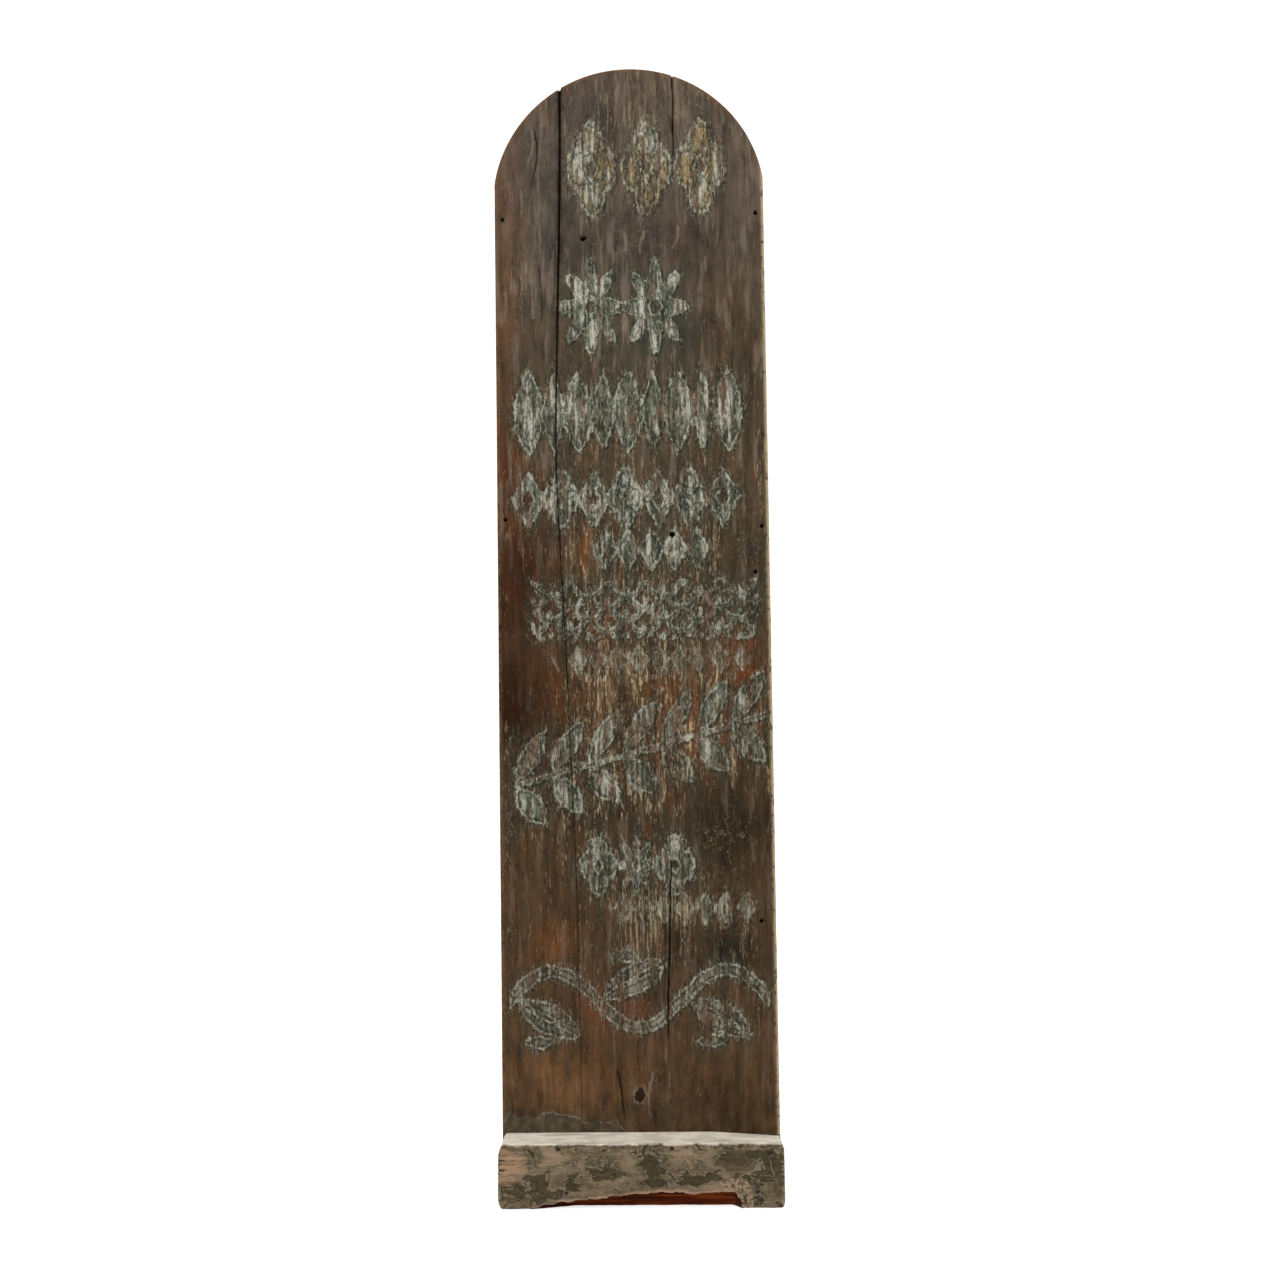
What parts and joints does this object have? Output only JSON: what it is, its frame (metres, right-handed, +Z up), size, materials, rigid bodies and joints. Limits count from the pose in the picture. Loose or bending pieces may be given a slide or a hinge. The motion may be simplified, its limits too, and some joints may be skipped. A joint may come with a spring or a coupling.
{
  "type": "trade sign board",
  "caption": "Tall round-topped sign board of joined planks with worn paint on both faces, standing in nailed foot rails.",
  "frame": {"origin": "on the floor, under the middle of the board's width and thickness", "axes": "+Z up to the top of the arch, +X to the right of someone who faces the front, the front face looks along -Y"},
  "size_m": [0.371, 0.1172, 1.524],
  "materials": {
    "painted_board": "old dark paint, worn to bare brown wood",
    "weathered_rail": "weathered grey-brown wood with remains of dark paint",
    "rusted_iron": "dull rust"
  },
  "bodies": {
    "root": {"wide_plank": "painted_board", "narrow_plank": "painted_board", "front_rail": "weathered_rail", "back_rail": "weathered_rail", "front_nail_1": "rusted_iron", "front_nail_2": "rusted_iron", "front_nail_3": "rusted_iron", "front_nail_4": "rusted_iron", "front_nail_5": "rusted_iron", "back_nail_1": "rusted_iron", "back_nail_2": "rusted_iron", "back_nail_3": "rusted_iron", "back_nail_4": "rusted_iron", "back_nail_5": "rusted_iron"}
  },
  "joints": []
}
